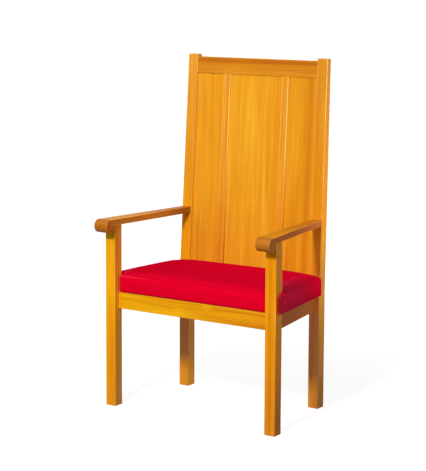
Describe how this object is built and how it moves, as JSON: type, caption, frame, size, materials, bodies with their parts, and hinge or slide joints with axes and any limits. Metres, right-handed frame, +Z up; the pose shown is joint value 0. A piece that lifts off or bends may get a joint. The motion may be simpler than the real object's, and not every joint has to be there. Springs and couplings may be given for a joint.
{
  "type": "choir chair",
  "caption": "High-backed wooden armchair with a panelled raked back, flat arms ending in rolls, and a boxed fabric seat cushion.",
  "frame": {"origin": "on the floor, in the middle of the chair's width and depth, under the seat", "axes": "+X to the sitter's left, seen from the front to the right; +Y from the front of the chair to its back; +Z up"},
  "size_m": [0.7034, 0.497, 1.21],
  "materials": {
    "pine_post": "gloss",
    "pine_rail": "gloss",
    "pine_panel": "gloss",
    "pine_arm": "gloss",
    "block_wood": "satin",
    "plywood": "matte",
    "foam": "matte",
    "red_cloth": "matte",
    "dowel_wood": "satin",
    "screw_steel": "satin"
  },
  "bodies": {
    "root": {"front_post_left": "pine_post", "front_post_right": "pine_post", "back_post_left": "pine_post", "back_post_right": "pine_post", "front_seat_rail": "pine_rail", "side_seat_rail_left": "pine_rail", "side_seat_rail_right": "pine_rail", "rear_seat_rail": "pine_rail", "top_rail": "pine_rail", "muntin_left": "pine_panel", "muntin_right": "pine_panel", "panel_left": "pine_panel", "panel_middle": "pine_panel", "panel_right": "pine_panel", "arm_left": "pine_arm", "arm_right": "pine_arm", "arm_roll_left": "pine_arm", "arm_roll_right": "pine_arm", "corner_block_front_left": "block_wood", "corner_block_front_right": "block_wood", "corner_block_rear_left": "block_wood", "corner_block_rear_right": "block_wood", "seat_board": "plywood", "seat_foam": "foam", "seat_cover": "red_cloth", "frame_dowels": "dowel_wood", "arm_dowels": "dowel_wood", "arm_roll_dowels": "dowel_wood", "corner_block_screws": "screw_steel", "seat_screws": "screw_steel"}
  },
  "joints": []
}
